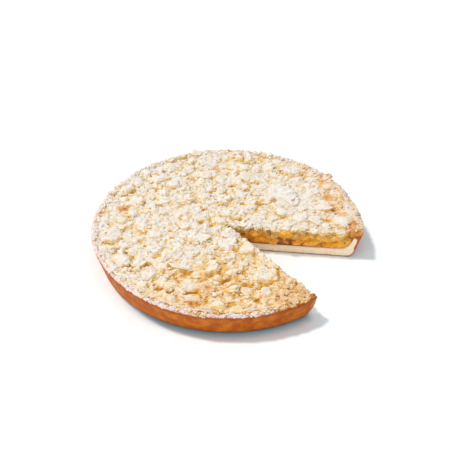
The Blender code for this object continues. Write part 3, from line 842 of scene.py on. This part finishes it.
SUGARED = srgb(236, 226, 217)
DOUGH = srgb(241, 220, 185)
PALE_BUTTER = srgb(240, 207, 136)
BUTTER = srgb(228, 170, 72)
BUTTER_IN_PAINTED_SHADE = srgb(190, 134, 50)
TOASTED = srgb(208, 138, 62)
TAN = srgb(226, 172, 118)
GOLDEN = srgb(222, 156, 56)
crumble_finish, place, shader = new_finish("sugared_crumble")
low_spot = value_of(place, "hollow")
tone = value_of(place, "tone")
patch = place.speckle(24 * MM, 2)
spot = place.speckle(10 * MM, 2)
cloud = place.speckle(6 * MM, 3)
grit = place.speckle(1.1 * MM, 3, 0.7)
up = place.node("SeparateXYZ", out="Z", Vector=place.node("NewGeometry", out="Normal"))
side_on = 1 - up
sugar = value_of(place, "sugar")
butter = (sugar + cloud - 0.5).band(-0.65, 0.15).mix(BUTTER, PALE_BUTTER)
# Low spots and steep sides turn buttery: partly dough that the sugar missed, partly painted warm shade
butter_and_painted_shade = low_spot * 0.5 + side_on * 1.1 + cloud * 1.6 - sugar * 0.3 - 0.8
dough = butter_and_painted_shade.band(-0.2, 0.95).mix(DOUGH, butter)
toast = value_of(place, "toast")
dough = (toast * 0.9).mix(dough, TAN)
brown = (toast + (tone - 0.5) * 0.6 + (cloud - 0.5) * 1.4 + low_spot * 0.1).band(0.5, 1.0)
dough = (brown * 0.85).mix(dough, TOASTED)
# Painted shade: the lowest spots and the undersides of lumps darken to a deep butter colour
dough = ((low_spot - sugar * 0.4).band(0.9, 2.8) * (0.55 - sugar * 0.5)).mix(dough, BUTTER_IN_PAINTED_SHADE)
baked = tone.band(0.9, 0.99)
dough = (baked * 0.7).mix(dough, TOASTED)
# Golden in the open hollows: partly dough that the sugar missed, partly painted warm shade
golden = value_of(place, "golden").band(0.1, 0.9)
dough = (golden * 0.85).mix(dough, GOLDEN)
dusting = sugar + up * 1.1 - low_spot * 0.22 - baked * 0.45 - golden * 0.9 - toast * 0.6
dusting = dusting + (spot - 0.5) * 1.3
dusting = (dusting + (grit - 0.5) * 0.4 + (cloud - 0.5) * 1.0 + (patch - 0.5) * 0.9).band(0.6, 1.15)
link_finish(shader, (dusting * 0.9).mix(dough, SUGARED), grit * 0.1 + 0.8, grit * 0.5 + cloud, 0.25 * MM)
shader.inputs["Specular IOR Level"].default_value = 0.2
shader.inputs["Subsurface Weight"].default_value = 0.5
shader.inputs["Subsurface Radius"].default_value = (1.0, 1.0, 1.0)
shader.inputs["Subsurface Scale"].default_value = 1.0 * MM
crumble.data.materials.append(crumble_finish)
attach(crumble, "root")
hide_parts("crumble")

# Clumps
# The larger soft lumps that stand out of the crumble, some lying on the rim, and those
# that break the edges of the crumble along both cuts.
CRUMB_PLANES = 8


def crumbs(name, kind, x, y, z, wide, depth, tall, turn, seed, graininess=0.14, flat_top=0.8):
    """Closed lumps of one kind as one piece, each with its own tone, riding on the pie. The
    heap rises under them, and no clump has the tones near 1 that count as baked."""
    places, sizes = np.stack([x, y, z], -1), np.stack([wide, depth, tall], -1)
    shape = (turn, seed, CRUMB_PLANES, graininess, flat_top)
    points, faces, each = lumps_mesh(kind, places, sizes, *shape)
    highest = 0.88 if kind == 1280 else 1
    tones = np.repeat(np.random.default_rng(seed).uniform(0, highest, len(x)), each)
    looks = looks_at(points)
    # The lower part of each lump counts as lying deeper, for painted shade under it
    under = (np.repeat(z + 0.05 * tall, each) - points[:, 2]) / np.repeat(tall, each)
    looks["hollow"] += 4.5 * np.clip(under, 0, 0.4)
    made = piece(name, points, faces, {**looks, "tone": tones}, smooth=kind > 20)
    a, b = (np.clip(((points[:, n] + HALF) / CELL).astype(int), 0, len(axis) - 2) for n in (0, 1))
    for da, db in ((0, 0), (1, 0), (0, 1), (1, 1)):
        np.maximum.at(heap, (a + da, b + db), points[:, 2])
    made.data.materials.append(crumble_finish)
    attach(made, "root")
    return made


x, y, wide, depth, turn = clumps.T
on_rim = np.hypot(x, y) > RIM_RADIUS - 1.5 * RIM_THICK
least = np.minimum(wide, depth)
z = np.minimum(bed_height(x, y), 28.6 * MM) - 0.4 * MM - 0.1 * np.maximum(least - BROAD, 0)
z = np.where(on_rim, RIM_HEIGHT + 0.1 * MM + 0.1 * wide * (y > 105 * MM), z)
tall = 0.42 * np.minimum(least, BROAD) + np.where(on_rim, 6.0, 3.6) * MM
EDGE_STEPS, EDGE_DEPTH = np.arange(9, 121, 9.4), 0.85
edges = []
rng = np.random.default_rng(SEED + 1)
for angle, side in ((REAR_CUT, 1), (FRONT_CUT, -1)):
    for out in EDGE_STEPS:
        size = rng.uniform(7.5, 11.5) * MM
        along = (out + rng.uniform(-2, 2)) * MM
        inside = 0.42 * size - rng.uniform(-0.6, 1.2) * MM
        sink = rng.uniform(0.5, 3.0) * MM
        edges.append((*beside_cut(along, inside, angle, side), sink, size, rng.uniform(0, math.pi)))
edge_x, edge_y, sink, size, edge_turn = np.array(edges).T
z = np.append(z, bed_height(edge_x, edge_y) - sink)
x, y, turn = np.append(x, edge_x), np.append(y, edge_y), np.append(turn, edge_turn)
wide, depth = np.append(wide, size), np.append(depth, EDGE_DEPTH * size)
tall = np.append(tall, 0.42 * EDGE_DEPTH * size + 3.6 * MM)
crumbs("crumble_clumps", 1280, x, y, z, wide, depth, tall, turn, 101, flat_top=0.5)

# Crumbs
# Middle-sized and small crumbs that lie on and between the clumps, and spill on to the rim
# further on the right than on the left. The small ones are fewer on the left, and all are
# fewest on the large white clump at the right.
SPILL_TURNS = [-110, -84, -66, -52, -7, 70, 110, 200]
SPILL = [1.0, 1.4, 3.2, 3.4, 3.4, 3.0, 1.8, 0.6]
# Piece, triangles of each, least and most width in millimetres, how many are tried, share of
# the height that is sunk in, and how far from the rim's edge they stay
CRUMB_KINDS = [
    ("crumble_lumps", 48, 3.8, 7.2, 2800, 0.4, 6.0),
    ("crumble_crumbs", 20, 1.9, 4.2, 20000, 0.36, 4.0),
    ("crumble_grains", 20, 1.2, 2.0, 13000, 0.1, 2.0),
]
rng = np.random.default_rng(SEED + 9)
for name, kind, low, high, count, sink, edge in CRUMB_KINDS:
    x, y = rng.uniform(-RIM_RADIUS, RIM_RADIUS, (2, count))
    wide = (low + (high - low) * rng.uniform(0, 1, count) ** 1.5) * MM
    depth, tall = wide * rng.uniform(0.55, 1, count), wide * rng.uniform(0.5, 0.8, count)
    z = sample(heap, x, y) - sink * tall
    turn = rng.uniform(0, math.pi, count)
    on_lump = (sample(heap, x, y) > RIM_HEIGHT + 1.5 * MM) & on_pie(x, y, 0, -1 * MM)
    below = (sample(bed_mean, x, y) - sample(heap, x, y)) / MM
    sparse = 0.3 * np.clip((-20 * MM - x) / (50 * MM), 0, 1) * (kind == 20)
    sparse += 0.8 * np.exp(-((x - 57 * MM) ** 2 + (y - 55 * MM) ** 2) / (13 * MM) ** 2)
    spill = along_rim(x, y, SPILL_TURNS, SPILL)
    spill = spill * (1 + 0.8 * noise(on_floor(x, y), 9 * MM, 171)) * MM
    inside = on_pie(x, y, 0.15 * wide, np.maximum(edge * MM - spill, 0.4 * MM))
    good = (inside | on_lump) & (below > rng.normal(-1.3, 1.2, count))
    good &= (hollow_share(x, y) < rng.uniform(0.1, 1.1, count)) & (rng.uniform(0, 1, count) > sparse)
    values = [value[good] for value in (x, y, z, wide, depth, tall, turn)]
    crumbs(name, kind, *values, 110 + kind, graininess=0.16)

# Crumbs on the rim
# Crumbs that spilled over the rim: all across it on the right, at the back and beside the
# front cut, and only along its inner side elsewhere.
RIM_BAND = 7.2 * MM
COVER_TURNS = [-110, -84, -68, -52, -7, 60, 100, 140, 200]
COVER = [0.12, 0.2, 1, 1, 1, 1, 0.8, 0.7, 0.15]
rng = np.random.default_rng(SEED + 21)
count = 2400
turn = REAR_CUT + KEPT * rng.uniform(0, 1, count)
x, y = np.cos(turn), np.sin(turn)
covered = along_rim(x, y, COVER_TURNS, COVER)
kept = rng.uniform(0, 1, count) < covered * (0.75 + 0.6 * noise(on_floor(x, y), 0.08, 173))
turn, covered = turn[kept], covered[kept]
count = len(turn)
wide = (2.0 + 3.2 * rng.uniform(0, 1, count) ** 1.6) * MM
outwards = rng.uniform(0, 1, count) ** (2.2 - 1.4 * covered)
radius = RIM_RADIUS + rim_swell(turn) - RIM_BAND + outwards * (RIM_BAND - 0.25 * wide)
radius = radius + 0.5 * MM * (covered > 0.9)
depth, tall = wide * rng.uniform(0.6, 1, count), wide * rng.uniform(0.55, 0.85, count)
z = RIM_HEIGHT + 0.1 * tall - 1.2 * MM * np.clip((radius - RIM_RADIUS) / MM + 1, 0, 2)
x, y = radius * np.cos(turn), radius * np.sin(turn)
at_corner = (off_cut(x, y, FRONT_CUT) < 9 * MM) & (x > 0) & (radius > 128.5 * MM)
kept = on_pie(x, y, 0.3 * wide, -4 * MM) & ~at_corner
values = [value[kept] for value in (x, y, z, wide, depth, tall, rng.uniform(0, math.pi, count))]
crumbs("rim_crumbs", 48, *values, 151, graininess=0.16)

# Faces of the cut
# Crumbs that the knife dragged over both faces, and lumps that hang over the filling. Two
# apple pieces of the rear cut stay clear of crumbs.
rng = np.random.default_rng(SEED + 13)
count = 900
side = rng.choice([1, -1], count)
angle = np.where(side > 0, REAR_CUT, FRONT_CUT)
along = rng.uniform(4, 122, count) * MM
wide = (1.6 + 4.2 * rng.uniform(0, 1, count) ** 2) * MM
inside = (CRUMBLE_BACK - 0.2 * MM) - rng.uniform(-0.5, 0.6, count) * wide * 0.5
x, y = beside_cut(along, inside, angle, side)
z = FILLING_TOP + rng.uniform(0, 1, count) * (bed_height(x, y) - FILLING_TOP)
by_apple = (np.abs(along - 58 * MM) < 7 * MM) | (np.abs(along - 28 * MM) < 8 * MM)
bare = (side > 0) & by_apple & (z < 26 * MM)
turn = rng.uniform(0, 3.1, count)
values = [value[~bare] for value in (x, y, z, wide, 0.8 * wide, 0.75 * wide, turn)]
crumbs("cut_face_crumbs", 48, *values, 131)

# Hanging lumps: distance from the middle, height and width in millimetres. The distance is
# negative at the front cut.
HANGING = [
    (38, 23.5, 7), (47, 19.5, 9), (51, 24.5, 7), (68, 22.5, 8), (75, 25, 7), (85, 22.5, 7),
    (95, 24.5, 8), (106, 22, 8), (114, 25, 8), (-18, 24, 8), (-31, 23, 7), (-42, 25, 8),
    (-54, 22.5, 8), (-66, 24.5, 7), (-77, 23, 8), (-90, 21.5, 7), (-101, 21.5, 8), (-112, 24.5, 8),
]
out, z, wide = np.array(HANGING).T * MM
side, angle = np.sign(out), np.where(out > 0, REAR_CUT, FRONT_CUT)
x, y = beside_cut(np.abs(out), 0.1 * wide, angle, side)
crumbs("hanging_lumps", 320, x, y, z, wide, 0.8 * wide, 0.8 * wide, angle, 133)

# Sugar on the rim
# Coarse sugar that fell on the rim while the crumble was dusted, in small heaps that hang
# over its outer edge here and there. There is little of it near the front cut.
rng = np.random.default_rng(SEED + 17)
count = 21000
turn = REAR_CUT + KEPT * rng.uniform(0, 1, count)
over = rng.normal(-0.3, 1.9, count) * MM
radius = RIM_RADIUS + rim_swell(turn) - 2.4 * MM + np.minimum(over, 1.9 * MM)
spots = np.stack([radius * np.cos(turn), radius * np.sin(turn), over], -1)
heaped = 0.2 + 0.8 * noise(spots, 6 * MM, 175) + 1.5 * noise(spots, 2.6 * MM, 176)
heaped -= 0.35 * np.clip(over / MM - 1, 0, 4)
kept = rng.uniform(0.1, 1, count) < rim_sugared(spots[:, 0], spots[:, 1]) * heaped
kept &= over > -5.2 * MM
turn, over, spots = turn[kept], over[kept], spots[kept]
z = RIM_HEIGHT + 0.2 * MM - np.clip(over / MM, 0, 2.3) ** 2 * 0.28 * MM - np.maximum(over - 2.3 * MM, 0)
z = np.where(over < -2.5 * MM, sample(heap, spots[:, 0], spots[:, 1]) + 0.1 * MM, z)
wide = (0.8 + 1.6 * rng.uniform(0, 1, len(turn)) ** 2) * MM
places, sizes = np.stack([spots[:, 0], spots[:, 1], z], -1), np.stack([wide, wide, 0.8 * wide], -1)
points, faces, _ = lumps_mesh(20, places, sizes, turn, 141, 6, 0.1)
rim_sugar = piece("rim_sugar", points, faces, {})
sugar_finish, place, shader = new_finish("coarse_sugar")
CREAM, OFF_WHITE = srgb(230, 206, 194), srgb(250, 238, 231)
sparkle = place.speckle(1.5 * MM, 2)
crystal = sparkle.band(0.35, 0.65).mix(CREAM, OFF_WHITE)
link_finish(shader, crystal, sparkle * 0.2 + 0.45, sparkle, 0.1 * MM)
rim_sugar.data.materials.append(sugar_finish)
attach(rim_sugar, "root")
